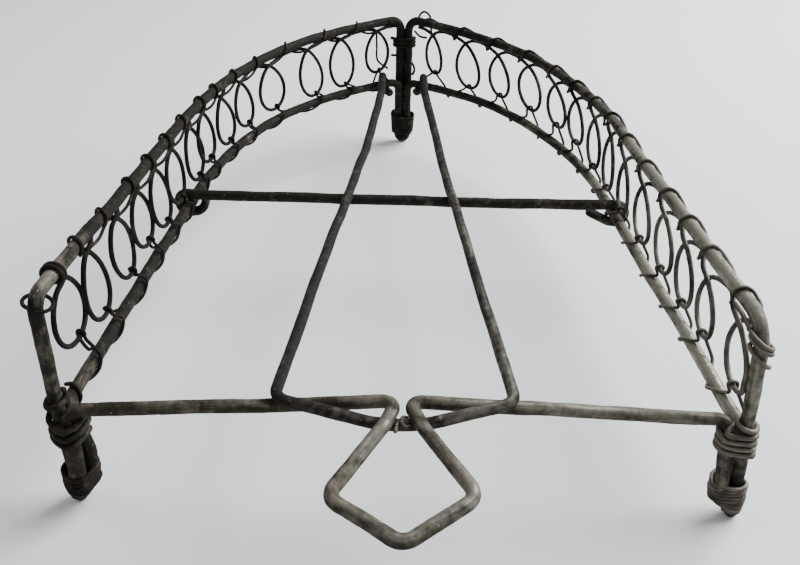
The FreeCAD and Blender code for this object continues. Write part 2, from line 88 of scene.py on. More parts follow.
# Loops from the front leg backwards: gap from the loop before, height of its bottom, width
LEFT_LOOPS = ((13, 32, 15), (13, 28.7, 13.5), (16, 29, 14), (13, 29.8, 14), (13, 28, 14.5),
              (12, 28.5, 15), (16, 27.5, 15), (9.5, 28.7, 14), (14.5, 28, 13.5), (12.5, 28.8, 12.5),
              (16, 28.5, 15), (20, 27.2, 13), (14.5, 27, 12.5), (15, 29, 11))
RIGHT_LOOPS = ((5, 30, 12.5), (17, 30, 11.5), (12.5, 29.5, 13), (13.5, 29.8, 14), (15.5, 29, 14),
               (16, 28.3, 12), (14.5, 28, 13), (13, 28.6, 12), (13.5, 30.2, 12.5), (12.5, 30.5, 13),
               (16, 30, 14.5), (16, 29.2, 11.5), (15, 28, 12), (15.5, 29.5, 8.5))
# How far behind its middle a loop crosses itself, or ahead of it where less than 0. The left loops
# lean most at one place along the fence, and less and less away from it.
LEFT_LEAN = -5.5
RIGHT_LEAN = 2.1
LEFT_LEAN_PEAK = 80.0
LEFT_LEAN_REACH = 120.0
# How far under the rail's centre a loop crosses, at the front leg and at the fence's far end, and how
# far its strands stand off the fence's plane there
LEFT_CROSSING_DROP = (2.8, 2.8)
RIGHT_CROSSING_DROP = (4.8, 2.8)
FENCE_LENGTH = 200.0
STRAND_OFFSET = 0.8
# Each loop is a looped cycloid. It is widest 115 degrees into its turn, where the sine is 0.91 and
# the drift is still 0.18 of a pitch short of the middle. It crosses at 0.87 of its full height.
WIDEST_SINE = 0.91
WIDEST_DRIFT = 0.18
CROSSING_SHARE = 0.87

# Fineness of the meshes: distance between rings along a wire, and corners in each ring
HEAVY_STEP = 0.45
FINE_STEP = 0.24
HEAVY_SIDES = 22
FINE_SIDES = 12
# A cut end: length of its rounded rim in diameters, and how worn its face is
RIM_SHARE = 0.4
END_WEAR = 0.3
# The lowest value of a wire's wear and painted shading, and the shift between the finishes of wires in
# one mesh
DARKEST = -0.3
FINISH_SHIFT = 37.0
UP = np.array((0.0, 0.0, 1.0))


# ---------------------------------------------------------------- lines in space

def spot(x, y, z):
    return np.array((x, y, z), dtype=float)


def unit(vector):
    return vector / np.linalg.norm(vector)


def unit_rows(rows):
    return rows / np.linalg.norm(rows, axis=1, keepdims=True)


def mirrored(point, side):
    return point * np.array((side, 1.0, 1.0))


def distances(path):
    """Distance along a path at each of its points."""
    return np.append(0.0, np.cumsum(np.linalg.norm(np.diff(path, axis=0), axis=1)))


def resampled(path, step):
    """The same path as points one step apart."""
    path = path[np.append(True, np.linalg.norm(np.diff(path, axis=0), axis=1) > 1e-6)]
    along = distances(path)
    where = np.linspace(0, along[-1], max(3, round(along[-1] / step)) + 1)
    return np.stack([np.interp(where, along, path[:, axis]) for axis in range(3)], axis=1)


def bent(corners, radii, step=HEAVY_STEP):
    """Straight runs joined by tangent arcs of the given radii."""
    path = [corners[0]]
    for before, corner, after, radius in zip(corners, corners[1:], corners[2:], radii):
        back = unit(before - corner)
        ahead = unit(after - corner)
        half = math.acos(np.clip(back @ ahead, -1, 1)) / 2
        centre = corner + unit(back + ahead) * radius / math.sin(half)
        first = corner + back * radius / math.tan(half) - centre
        last = corner + ahead * radius / math.tan(half) - centre
        sweep = math.pi - 2 * half
        for share in np.linspace(0, 1, max(6, round(sweep * radius / step)) + 1):
            swung = math.sin((1 - share) * sweep) * first + math.sin(share * sweep) * last
            path.append(centre + swung / math.sin(sweep))
    path.append(corners[-1])
    return resampled(np.array(path), step)


def flowing(points, step=FINE_STEP):
    """A smooth line through points, as springy wire takes it."""
    points = np.array(points)
    knots = np.append(0.0, np.cumsum(np.linalg.norm(np.diff(points, axis=0), axis=1) ** 0.5))
    gaps = np.diff(knots)[:, None]
    slopes = np.diff(points, axis=0) / gaps
    tangents = np.empty_like(points)
    tangents[1:-1] = (slopes[:-1] * gaps[1:] + slopes[1:] * gaps[:-1]) / (gaps[:-1] + gaps[1:])
    tangents[0] = slopes[0]
    tangents[-1] = slopes[-1]
    shares = np.linspace(0, 1, 25)[:-1, None]
    path = []
    for index, gap in enumerate(gaps[:, 0]):
        start, end = points[index], points[index + 1]
        leave, arrive = tangents[index] * gap, tangents[index + 1] * gap
        path.append((2 * shares ** 3 - 3 * shares ** 2 + 1) * start
                    + (shares ** 3 - 2 * shares ** 2 + shares) * leave
                    + (3 * shares ** 2 - 2 * shares ** 3) * end
                    + (shares ** 3 - shares ** 2) * arrive)
    path.append(points[-1:])
    return resampled(np.concatenate(path), step)


def waves(points, length, seed, count=7):
    """Smooth noise of about -1 to 1 over points in space, for a given wavelength."""
    rng = np.random.default_rng(seed)
    total = np.zeros(len(points))
    for _ in range(count):
        direction = unit(rng.normal(size=3))
        turns = 2 * math.pi / (length * rng.uniform(0.7, 1.5))
        total += np.sin(points @ direction * turns + rng.uniform(0, 2 * math.pi))
    return total / math.sqrt(count)


def hand_bent(points):
    """The slight unevenness of the whole stand. Neighbouring wires share it, so they stay in touch.

    It fades out in height towards the feet, so that they stay on the table."""
    offset = np.stack([0.15 * waves(points, 46, seed) + 0.07 * waves(points, 15, seed + 5)
                       for seed in (11, 12, 13)], axis=1)
    offset[:, 2] *= np.clip(points[:, 2] / 12, 0, 1)
    return points + offset


def placed(points):
    """Layout millimetres to the model's metres."""
    return (hand_bent(points) + LAYOUT_ORIGIN) / 1000


class Rail:
    """A rail's centre line, read by the distance from the front leg."""

    def __init__(self, path, side):
        self.path = path
        self.along = distances(path) + path[0, 1]
        self.tangents = unit_rows(np.gradient(path, axis=0))
        self.outwards = unit_rows(np.cross(self.tangents, UP)) * side

    def read(self, table, distance):
        return np.array([np.interp(distance, self.along, table[:, axis]) for axis in range(3)])

    def beside(self, distance, out, up):
        """A point beside the rail: outward and upward from its centre."""
        return self.read(self.path, distance) + self.read(self.outwards, distance) * out + UP * up

    def at_height(self, distance, out, height):
        point = self.beside(distance, out, 0)
        point[2] = height
        return point

    def around(self, distance, angle, radius):
        """A point on a circle round the rail: 0 below, 90 inner side, 180 on top, 270 outer side."""
        turn = math.radians(angle)
        return self.beside(distance, -radius * math.sin(turn), -radius * math.cos(turn))


# ---------------------------------------------------------------- wires as meshes

def ring_frames(path, up):
    """Two directions across the path at each point: turned as little as possible, or kept to up."""
    tangents = unit_rows(np.gradient(path, axis=0))
    if up is not None:
        across = unit_rows(np.cross(tangents, up))
        return np.cross(across, tangents), across
    guess = UP if abs(tangents[0] @ UP) < 0.8 else np.array((0.0, 1.0, 0.0))
    normals = [unit(np.cross(np.cross(tangents[0], guess), tangents[0]))]
    for tangent in tangents[1:]:
        normals.append(unit(normals[-1] - (normals[-1] @ tangent) * tangent))
    normals = np.array(normals)
    return normals, np.cross(tangents, normals)


def tube(name, paths, gauge, wear, seed, sides=FINE_SIDES, rough=0.025, pits=0.0,
         up=None, tall=None, wide=None):
    """One mesh of round wire along each path, dented and pitted, with slightly rounded cut ends.

    wear gives how worn each point is. tall and wide scale the section, for a hammered end. The
    mesh carries two attributes for its material: wire, the place on the straightened wire, and
    an attribute of wear and painted shading: the wear, raised on upward-facing sides as painted
    light and lowered on undersides as painted shade. Below 0, it is darker than plain oxide."""
    paths = paths if isinstance(paths, list) else [paths]
    points, faces, wire, worn = [], [], [], []
    base = 0
    for number, path in enumerate(paths):
        along = distances(path)
        rim = RIM_SHARE * gauge
        ends = np.array((0.0, 0.08, 0.25, 0.55)) * rim
        where = np.concatenate((ends, along[(along > 0.8 * rim) & (along < along[-1] - 0.8 * rim)],
                                along[-1] - ends[::-1]))
        path = np.stack([np.interp(where, along, path[:, axis]) for axis in range(3)], axis=1)
        from_end = np.minimum(where, where[-1] - where)
        taper = 0.4 + 0.6 * np.sqrt(1 - np.clip(1 - from_end / rim, 0, 1) ** 2)
        normals, across = ring_frames(path, up)
        angles = np.linspace(0, 2 * math.pi, sides, endpoint=False)
        high = np.ones(len(where)) if tall is None else tall(where / where[-1])
        broad = np.ones(len(where)) if wide is None else wide(where / where[-1])
        radii = gauge / 2 * taper
        spokes = (np.cos(angles)[None, :, None] * (normals * (radii * high)[:, None])[:, None, :]
                  + np.sin(angles)[None, :, None] * (across * (radii * broad)[:, None])[:, None, :])
        ring = path[:, None, :] + spokes
        flat = ring.reshape(-1, 3)
        dents = rough * waves(flat, 2.6 * gauge, seed)
        dents += 0.5 * rough * waves(flat, 0.8 * gauge, seed + 1)
        dents -= pits * np.clip(waves(flat, 0.5 * gauge, seed + 2) - 0.9, 0, 1)
        flat = flat + spokes.reshape(-1, 3) * dents[:, None]
        facing = unit_rows(spokes.reshape(-1, 3))[:, 2]
        level = wear(flat)
        patches = 0.09 * waves(flat, 13, seed + 3) + 0.07 * waves(flat, 2.2, seed + 4)
        points.append(placed(flat))
        points.append(placed(path[[0, -1]]))
        # Upward-facing sides are made more worn and undersides less: painted light on the tops and
        # painted shade underneath, on top of the wear
        worn.append(np.clip(level * (0.7 + 0.55 * facing) + patches, DARKEST, 1))
        worn.append(np.full(2, END_WEAR))
        shift = FINISH_SHIFT * number
        straight = np.stack((np.repeat(where, sides) + shift,
                             np.tile(np.cos(angles), len(where)) * gauge / 2,
                             np.tile(np.sin(angles), len(where)) * gauge / 2), axis=1)
        wire.append(straight)
        wire.append(np.array(((shift, 0, 0), (where[-1] + shift, 0, 0))))
        here = base + np.arange(len(where) * sides).reshape(len(where), sides)
        beside = np.roll(here, -1, axis=1)
        quads = np.stack((here[:-1], beside[:-1], beside[1:], here[1:]), axis=2)
        faces += quads.reshape(-1, 4).tolist()
        first = base + len(flat)
        faces += [(b, a, first) for a, b in zip(here[0].tolist(), beside[0].tolist())]
        faces += [(a, b, first + 1) for a, b in zip(here[-1].tolist(), beside[-1].tolist())]
        base += len(flat) + 2
    mesh = bpy.data.meshes.new(name)
    mesh.from_pydata(np.concatenate(points).tolist(), [], faces)
    mesh.attributes.new("wire", "FLOAT_VECTOR", "POINT").data.foreach_set(
        "vector", np.concatenate(wire).astype(np.float32).ravel())
    mesh.attributes.new("worn", "FLOAT", "POINT").data.foreach_set(
        "value", np.concatenate(worn).astype(np.float32))
    mesh.polygons.foreach_set("use_smooth", [True] * len(mesh.polygons))
    mesh.update()
    piece = bpy.data.objects.new(name, mesh)
    bpy.context.scene.collection.objects.link(piece)
    return piece


def finish_piece(piece, material, slot, *nodes):
    """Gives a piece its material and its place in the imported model."""
    piece.data.materials.append(material)
    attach(piece, "root")
    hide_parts(*nodes)


# ---------------------------------------------------------------- aged iron

def aged_iron(name, deep, mid, bare, rust, rust_share, shine, grain=1.0):
    """Old iron wire: dark oxide, paler rubbed metal in streaks and patches, rust, and fine pits,
    lighter on upward-facing sides as painted light and darker underneath as painted shade.

    deep and mid are the oxide's darkest and palest colours, bare the rubbed metal's."""
    material = bpy.data.materials.new(name)
    material.use_nodes = True
    nodes = material.node_tree.nodes
    link = material.node_tree.links.new
    shader = nodes["Principled BSDF"]
    wire = nodes.new("ShaderNodeAttribute")
    wire.attribute_name = "wire"
    worn = nodes.new("ShaderNodeAttribute")
    worn.attribute_name = "worn"
    place = nodes.new("ShaderNodeTexCoord")

    def noise(source, scale, stretch=(1, 1, 1), detail=4.0, roughness=0.55):
        spread = nodes.new("ShaderNodeMapping")
        spread.inputs["Scale"].default_value = [scale * part for part in stretch]
        link(source, spread.inputs["Vector"])
        texture = nodes.new("ShaderNodeTexNoise")
        texture.inputs["Scale"].default_value = 1.0
        texture.inputs["Detail"].default_value = detail
        texture.inputs["Roughness"].default_value = roughness
        link(spread.outputs["Vector"], texture.inputs["Vector"])
        return texture.outputs["Fac"]

    def ramp(source, low, high):
        mapped = nodes.new("ShaderNodeMapRange")
        mapped.interpolation_type = "SMOOTHSTEP"
        mapped.inputs["From Min"].default_value = low
        mapped.inputs["From Max"].default_value = high
        link(source, mapped.inputs["Value"])
        return mapped.outputs["Result"]

    def math_node(operation, first, second):
        node = nodes.new("ShaderNodeMath")
        node.operation = operation
        for socket, value in zip(node.inputs, (first, second)):
            if isinstance(value, (int, float)):
                socket.default_value = value
            else:
                link(value, socket)
        return node.outputs["Value"]

    def blend(share, first, second):
        node = nodes.new("ShaderNodeMix")
        node.data_type = "RGBA"
        link(share, node.inputs["Factor"])
        for socket, value in zip((node.inputs["A"], node.inputs["B"]), (first, second)):
            if isinstance(value, tuple):
                socket.default_value = (*value, 1)
            else:
                link(value, socket)
        return node.outputs["Result"]

    wire_place = wire.outputs["Vector"]
    object_place = place.outputs["Object"]
    streaks = noise(wire_place, 1.3, (0.07, 1, 1), 6, 0.6)
    scratches = noise(wire_place, 4.0, (0.05, 1, 1), 3)
    blotches = noise(object_place, 260, detail=8, roughness=0.65)
    specks = noise(object_place, 1300, detail=6, roughness=0.75)
    crust = noise(object_place, 520, detail=8, roughness=0.7)
    flecks = noise(object_place, 1900, detail=2)

    def centred(source, amount):
        return math_node("MULTIPLY", math_node("SUBTRACT", source, 0.5), amount)

    # Dark oxide in blotches, and metal rubbed bare in streaks along the wire where it is worn. Both
    # follow the mesh's wear and painted shading, so upward-facing sides get paler metal as painted
    # light and undersides darker oxide as painted shade
    aged = math_node("ADD", blotches, math_node("MULTIPLY", worn.outputs["Fac"], 0.55))
    oxide_and_shade = blend(ramp(aged, 0.50, 0.76), deep, mid)
    rub_and_light = math_node("ADD", math_node("MULTIPLY", worn.outputs["Fac"], 0.9), centred(streaks, 0.9))
    rub_and_light = math_node("ADD", rub_and_light, math_node("ADD", centred(specks, 0.6), centred(blotches, 0.4)))
    rubbed_and_lit = ramp(rub_and_light, 0.1, 0.95)
    colour = blend(rubbed_and_lit, oxide_and_shade, bare)

    # Rust crusts, less of them on rubbed metal, and specks of pale dust
    rusting = math_node("MULTIPLY", ramp(crust, 0.58 - 0.14 * rust_share, 0.68 - 0.10 * rust_share),
                        math_node("SUBTRACT", 1.0, math_node("MULTIPLY", rubbed_and_lit, 0.5)))
    rusting = math_node("MULTIPLY", rusting, min(1.0, rust_share * 1.7))
    colour = blend(rusting, colour, rust)
    dust = math_node("MULTIPLY", ramp(flecks, 0.70, 0.76), 0.55)
    colour = blend(dust, colour, (0.42, 0.40, 0.35))
    link(colour, shader.inputs["Base Color"])

    # Rubbed metal shines, oxide and rust are dull
    metal = math_node("MULTIPLY", rubbed_and_lit, math_node("SUBTRACT", 1.0, rusting))
    link(math_node("MULTIPLY", metal, 0.6), shader.inputs["Metallic"])
    link(math_node("ADD", 0.1, math_node("MULTIPLY", rubbed_and_lit, 0.4)), shader.inputs["Specular IOR Level"])
    gloss = math_node("SUBTRACT", 0.74, math_node("MULTIPLY", rubbed_and_lit, shine * 0.68))
    gloss = math_node("ADD", gloss, centred(specks, 0.5))
    link(math_node("MAXIMUM", gloss, 0.2), shader.inputs["Roughness"])

    # Relief of pits, scratches along the wire and crusts, about a tenth of a millimetre deep
    height = math_node("ADD", math_node("MULTIPLY", specks, 0.5), math_node("MULTIPLY", scratches, 0.6))
    height = math_node("ADD", height, math_node("MULTIPLY", crust, 1.3))
    bump = nodes.new("ShaderNodeBump")
    bump.inputs["Strength"].default_value = 0.55 * grain
    bump.inputs["Distance"].default_value = 0.00012
    link(height, bump.inputs["Height"])
    link(bump.outputs["Normal"], shader.inputs["Normal"])
    return material


FRAME_IRON = aged_iron(
    "frame_iron", deep=(0.010, 0.009, 0.007), mid=(0.054, 0.048, 0.035),
    bare=(0.25, 0.235, 0.185), rust=(0.046, 0.030, 0.018), rust_share=0.3, shine=0.75)
HANDLE_IRON = aged_iron(
    "handle_iron", deep=(0.020, 0.017, 0.012), mid=(0.062, 0.055, 0.040),
    bare=(0.24, 0.225, 0.178), rust=(0.052, 0.035, 0.022), rust_share=0.3, shine=0.8)
SUPPORT_IRON = aged_iron(
    "support_iron", deep=(0.012, 0.010, 0.009), mid=(0.038, 0.033, 0.027),
    bare=(0.19, 0.175, 0.145), rust=(0.038, 0.025, 0.018), rust_share=0.2, shine=0.7, grain=0.7)
LOOP_IRON = aged_iron(
    "loop_iron", deep=(0.006, 0.005, 0.004), mid=(0.020, 0.016, 0.012),
    bare=(0.14, 0.125, 0.10), rust=(0.030, 0.018, 0.011), rust_share=0.3, shine=0.55, grain=0.7)
LACING_IRON = aged_iron(
    "lacing_iron", deep=(0.008, 0.006, 0.005), mid=(0.030, 0.024, 0.018),
    bare=(0.21, 0.19, 0.15), rust=(0.045, 0.027, 0.016), rust_share=0.35, shine=0.5, grain=0.8)
BINDING_IRON = aged_iron(
    "binding_iron", deep=(0.010, 0.008, 0.006), mid=(0.034, 0.029, 0.021),
    bare=(0.17, 0.15, 0.118), rust=(0.042, 0.027, 0.017), rust_share=0.4, shine=0.5)


# ---------------------------------------------------------------- how worn and how pale each place is

def rightness(points, soft=12):
    """0 on the left of the stand, 1 on the right, where the wires are paler."""
    return 1 / (1 + np.exp(-points[:, 0] / soft))


def frontness(points):
    """1 at the front legs, 0 at the back post."""
    return np.clip(1 - points[:, 1] / 185, 0, 1)


def frame_wear(points):
    """The left front corner is bright, the right side pale, the post and the feet are dark."""
    left_corner = np.exp(-np.linalg.norm(points - (-FRONT_HALF_WIDTH, 8, 51), axis=1) / 7)
    front = frontness(points)
    foot = np.clip((points[:, 2] - 8) / 14, 0.1, 1)
    leg = np.exp(-(points[:, 1] / 12) ** 2)
    right = 0.82 * front * rightness(points) * (1 - 0.6 * leg)
    return (0.30 * front ** 8 - 0.08 + right) * foot + 0.30 * left_corner


def handle_wear(points):
    """The right end is paler than the left, in the handle as well as in the bar behind it."""
    bar = np.clip(points[:, 1] / 4 + 1, 0, 1)
    grip = 0.11 + 0.4 * rightness(points)
    return grip + bar * (0.12 + 0.32 * rightness(points) - grip)


def support_wear(points):
    """Dark at the back and on the left arm, paler towards the front of the right arm."""
    return 0.50 * frontness(points) * rightness(points) - 0.07


def crossbar_wear(points):
    """Dark all along, and darkest at the left."""
    return 0.12 * rightness(points, 30) - 0.10


def thin_wear(points):
    """The thin wires are pale at the front of the right fence only."""
    return 0.02 + 0.60 * rightness(points) * frontness(points) ** 0.75


# ---------------------------------------------------------------- the heavy wires

def splay(side, height):
    """How far a front leg leans outwards at a height."""
    corner_z = RIGHT_CORNER_Z if side > 0 else LEFT_CORNER_Z
    return np.interp(height, (0, LOWER_RAIL_Z, corner_z), RIGHT_SPLAY if side > 0 else LEFT_SPLAY)


def leg_point(side, inset, y, height):
    return spot(side * (FRONT_HALF_WIDTH - inset + splay(side, height)), y, height)


def top_rail_corners(side):
    corner_z = RIGHT_CORNER_Z if side > 0 else LEFT_CORNER_Z
    corners = [spot(FRONT_HALF_WIDTH + splay(side, corner_z), 0, corner_z),
               spot(*SHOULDER, TOP_RAIL_Z), spot(*NOSE, TOP_RAIL_Z), spot(POST_X, POST_Y, TOP_RAIL_Z)]
    return [mirrored(corner, side) for corner in corners]


def lower_rail_corners(side):
    front_x, front_y = (65.4, 1.0) if side > 0 else (63.8, 2.0)
    corners = [spot(front_x, front_y, LOWER_RAIL_Z), spot(*SHOULDER, LOWER_RAIL_Z),
               spot(*NOSE, LOWER_RAIL_Z), spot(POST_X, POST_FRONT_Y, LOWER_RAIL_Z)]
    return [mirrored(corner, side) for corner in corners]


TOP_RADII = [SHOULDER_RADIUS, NOSE_RADIUS]
LOWER_RADII = [SHOULDER_RADIUS, LOWER_NOSE_RADIUS]
TOP_RAILS = {side: Rail(bent(top_rail_corners(side), TOP_RADII), side) for side in (-1, 1)}
LOWER_RAILS = {side: Rail(bent(lower_rail_corners(side), LOWER_RADII), side) for side in (-1, 1)}


def top_frame_wire():
    """One wire: left foot, left rail, down the post and up again, right rail, right foot."""
    corners = [leg_point(-1, 0.2, 0.8, 0.0), leg_point(-1, 0, 0, LOWER_RAIL_Z)] + top_rail_corners(-1)
    corners += [spot(-POST_X, POST_Y, FRAME_R + 0.1), spot(POST_X, POST_Y, FRAME_R + 0.1)]
    corners += top_rail_corners(1)[::-1]
    corners += [leg_point(1, 0, 0, LOWER_RAIL_Z), leg_point(1, 0, 0, 0.0)]
    radii = [60.0, LEFT_CORNER_RADIUS, SHOULDER_RADIUS, NOSE_RADIUS, 4.0, POST_X, POST_X, 4.0,
             NOSE_RADIUS, SHOULDER_RADIUS, RIGHT_CORNER_RADIUS, 30.0]

    def thicker_post(share):
        return 1 + 0.09 * np.exp(-(np.abs(share - 0.5) / 0.085) ** 6)

    piece = tube("aged_top_frame_wire", bent(corners, radii), FRAME_WIRE, frame_wear, seed=21,
                 sides=HEAVY_SIDES, rough=0.022, pits=0.05, tall=thicker_post, wide=thicker_post)
    finish_piece(piece, FRAME_IRON, "frame_wire", "top_frame_wire")


def lower_rail(side, name):
    """A lower rail, with its front end down in the leg and its back end down the post."""
    if side > 0:
        corners = [leg_point(1, 1.6, 0.8, 7.4), leg_point(1, 2.0, 0.9, 16.0)]
        radii = [20.0, 2.4]
    else:
        corners = [spot(-62.2, 0.9, 6.4), spot(-61.0, 1.0, 12.6), spot(-62.5, 1.6, 19.6)]
        radii = [7.0, 12.0, 2.6]
    corners += lower_rail_corners(side)
    corners += [spot(side * POST_X, POST_FRONT_Y, 6.0)]
    piece = tube(f"aged_{name}_lower_rail", bent(corners, radii + LOWER_RADII + [3.4]), FRAME_WIRE,
                 frame_wear, seed=31 + side, sides=HEAVY_SIDES, rough=0.024, pits=0.06)
    finish_piece(piece, FRAME_IRON, "frame_wire", f"{name}_lower_rail")


def handle_bar():
    """The front bar: one wire from leg to leg, drawn out into a diamond handle midway."""
    neck_z = 27.5
    corner_z = 27.0
    neck_y = 1.15
    middle_x = 0.8
    half_width = 13.0
    corners = [
        spot(-63.3, -2.1, 7.6), spot(-62.9, -1.0, 25.5), spot(-28.0, 0.5, 25.9),
        spot(-0.1, neck_y, neck_z), spot(-2.3, -5.4, neck_z),
        spot(middle_x - half_width, -23.4, corner_z), spot(1.0, -33.3, 26.5),
        spot(middle_x + half_width, -22.8, corner_z), spot(4.7, -6.2, neck_z),
        spot(1.7, neck_y, neck_z), spot(30.0, 1.2, 26.0),
        leg_point(1, 3.2, 1.4, LOWER_RAIL_Z), leg_point(1, 3.1, -0.9, 8.0),
    ]
    radii = [2.6, 90.0, 2.1, 16.0, 3.2, 3.0, 3.2, 16.0, 2.1, 90.0, 2.6]

    def beaten_end(share):
        return 1 + 0.3 * np.exp(-(share / 0.045) ** 4)

    piece = tube("aged_handle_bar", bent(corners, radii), HANDLE_WIRE, handle_wear, seed=41,
                 sides=HEAVY_SIDES, rough=0.022, pits=0.07, wide=beaten_end)
    finish_piece(piece, HANDLE_IRON, "handle_wire", "handle_bar")


def middle_crossbar():
    """The straight bar behind it. Its ends are hammered flat and curled round the lower rails."""
    rail_x = 57.7
    bar_y = 84.2
    hook = FRAME_WIRE + 0.05
    over_z = LOWER_RAIL_Z + hook
    under_z = LOWER_RAIL_Z - hook
    left = [spot(hook + 1.5 - rail_x, bar_y + 2.9, LOWER_RAIL_Z + 0.7),
            spot(hook + 0.2 - rail_x, bar_y + 2.5, under_z),
            spot(0.3 - rail_x - hook, bar_y + 1.6, under_z),
            spot(0.3 - rail_x - hook, bar_y + 0.8, over_z + 0.3), spot(-40.0, bar_y, over_z)]
    right = [spot(rail_x + hook, bar_y, over_z), spot(rail_x + hook, bar_y + 0.8, under_z),
             spot(rail_x - 1.2, bar_y + 1.8, under_z),
             spot(rail_x - 7.0, bar_y + 2.8, LOWER_RAIL_Z - 0.4)]
    hook_radius = 2.7
    sag_radius = 80.0
    path = bent(left + right, [hook_radius] * 3 + [sag_radius] + [hook_radius] * 3)
    tongue_length = 11.0
    tongue_share = tongue_length / distances(path)[-1]

    def flattened(share):
        return np.clip(1 - np.minimum(share, 1 - share) / tongue_share, 0, 1) ** 0.4

    piece = tube("aged_middle_crossbar", path, FRAME_WIRE, crossbar_wear, seed=51, sides=HEAVY_SIDES,
                 rough=0.022, pits=0.08, up=spot(0, 1, 0),
                 tall=lambda share: 1 + 0.35 * flattened(share),
                 wide=lambda share: 1 - 0.18 * flattened(share))
    finish_piece(piece, FRAME_IRON, "frame_wire", "middle_crossbar")


def heart_support():
    """The long V that carries the iron: over the bars, under the handle, hooked on at the back."""
    rail_y = 181.6
    back_x = 7.4
    hook = (FRAME_WIRE + SUPPORT_WIRE) / 2 + 0.05
    over_z = LOWER_RAIL_Z + hook
    under_z = LOWER_RAIL_Z - hook
    arm_z = LOWER_RAIL_Z + FRAME_WIRE + hook + 0.1
    left, right = [
        [mirrored(corner, side) for corner in (
            spot(back_x - 3.0, rail_y - 1.9, end_z), spot(back_x - 0.4, rail_y + hook + 0.4, under_z),
            spot(back_x, rail_y + hook + 0.4, over_z), spot(back_x, rail_y - 14.0, over_z + 0.4),
            spot(back_x + 3.6, 108.0, arm_z), spot(front_x - 7.4, 66.0, arm_z),
            spot(front_x, -0.6, 29.0), spot(12.0, -3.2, 28.0))]
        for side, front_x, end_z in ((-1, 23.4, under_z), (1, 22.2, under_z + 0.8))]
    corners = left + [spot(0.7, -4.4, 25.0)] + right[::-1]
    radii = [2.2, 2.6, 60.0, 90.0, 60.0, 3.0, 40.0]
    radii = radii + [30.0] + radii[::-1]

    def thicker_ends(share):
        return 1 + 0.22 * np.abs(2 * share - 1) ** 3

    piece = tube("aged_heart_support", bent(corners, radii), SUPPORT_WIRE, support_wear, seed=61,
                 sides=HEAVY_SIDES, rough=0.018, pits=0.03, tall=thicker_ends, wide=thicker_ends)
    finish_piece(piece, SUPPORT_IRON, "support_wire", "heart_support")


# ---------------------------------------------------------------- the fences

def loop_places(side):
    """Distance of each loop's middle from the front leg, height of its bottom, and width."""
    places = []
    distance = 0
    for gap, bottom, width in RIGHT_LOOPS if side > 0 else LEFT_LOOPS:
        distance += gap
        places.append((distance, bottom, width))
    return places


def crossing_place(side, middle):
    """Where a loop crosses itself: the left loops lean forward, most of all midway, the right back."""
    if side < 0:
        return middle + LEFT_LEAN * (1 - ((middle - LEFT_LEAN_PEAK) / LEFT_LEAN_REACH) ** 2)
    return middle + RIGHT_LEAN


def loop_wire(side, name):
    """A fence's loop wire: run under the top rail, and dropped in a crossed loop at each pitch."""
    rng = np.random.default_rng(70 + side)
    rail = TOP_RAILS[side]
    run_drop = FRAME_R + LOOP_R + 0.05
    drops = RIGHT_CROSSING_DROP if side > 0 else LEFT_CROSSING_DROP
    places = loop_places(side)
    middles = [place[0] for place in places]
    before = [10] + [b - a for a, b in zip(middles, middles[1:])]
    after = before[1:] + [11]
    points = []
    for (middle, bottom, width), back_gap, ahead_gap in zip(places, before, after):
        crossing = crossing_place(side, middle)
        drop = np.interp(middle, (0, FENCE_LENGTH), drops)
        depth = rail.beside(crossing, 0, -drop)[2] - bottom
        lean = crossing - middle
        skew = rng.uniform(-0.35, 0.35)
        for turned in np.arange(0, 360, 24):
            turn = math.radians(turned)
            gap = back_gap if turned < 180 else ahead_gap
            swing = ((width - LOOP_WIRE) / 2 + WIDEST_DRIFT * gap) / WIDEST_SINE
            share = (1 + math.cos(turn)) / 2 / CROSSING_SHARE
            along = middle + gap * (turn / math.pi - 1) / 2 + swing * math.sin(turn) + lean * share
            along = max(along + skew * math.sin(2 * turn), 0.9)
            ceiling = rail.beside(along, 0, -run_drop)[2]
            points.append(rail.at_height(along, STRAND_OFFSET * math.cos(turn / 2),
                                         min(bottom + depth * share, ceiling)))
    points.append(rail.beside(middles[-1] + 8, 0, -run_drop))
    piece = tube(f"aged_{name}_loop_wire", flowing(points), LOOP_WIRE, thin_wear, seed=71 + side,
                 rough=0.02, pits=0.05)
    finish_piece(piece, LOOP_IRON, "loop_wire", f"{name}_loop_wire")


def top_lacing(side, name):
    """Thin wire wound over the top rail and under the loop wire, once round at each loop."""
    rng = np.random.default_rng(80 + side)
    rail = TOP_RAILS[side]
    snug = FRAME_R + LACING_R + 0.02
    under = FRAME_R + LOOP_WIRE + LACING_R + 0.1
    if side > 0:
        knots = [crossing_place(side, place[0]) + 3.0 for place in loop_places(side)][::-1] + [2.0]
        turn = ((0, 55, snug + 0.25), (0.03, 95, snug + 0.1), (0.05, 140, snug), (0.08, 185, snug),
                (0.14, 225, snug), (0.26, 255, snug + 0.1), (0.42, 275, snug + 0.3),
                (0.58, 305, snug + 0.5), (0.74, 345, under), (0.90, 385, under))
    else:
        knots = [place[0] + 3.9 for place in loop_places(side)]
        turn = ((0, 50, snug), (0.06, 95, snug), (0.12, 140, snug), (0.18, 185, snug),
                (0.24, 230, snug), (0.30, 275, snug + 0.4), (0.38, 320, under),
                (0.50, 360, under), (0.72, 388, under - 0.3))
    points = []
    for knot, following in zip(knots, knots[1:]):
        knot += rng.uniform(-0.4, 0.4)
        for share, angle, radius in turn:
            distance = max(knot + share * (following - knot), 0.3)
            points.append(rail.around(distance, angle + rng.uniform(-4, 4), radius))
    points += [rail.around(knots[-1], angle, snug) for angle in ((50,) if side > 0 else (50, 120))]
    piece = tube(f"aged_{name}_top_lacing", flowing(points), LACING_WIRE, thin_wear,
                 seed=81 + side, rough=0.03)
    finish_piece(piece, LACING_IRON, "lacing_wire", f"{name}_top_lacing")


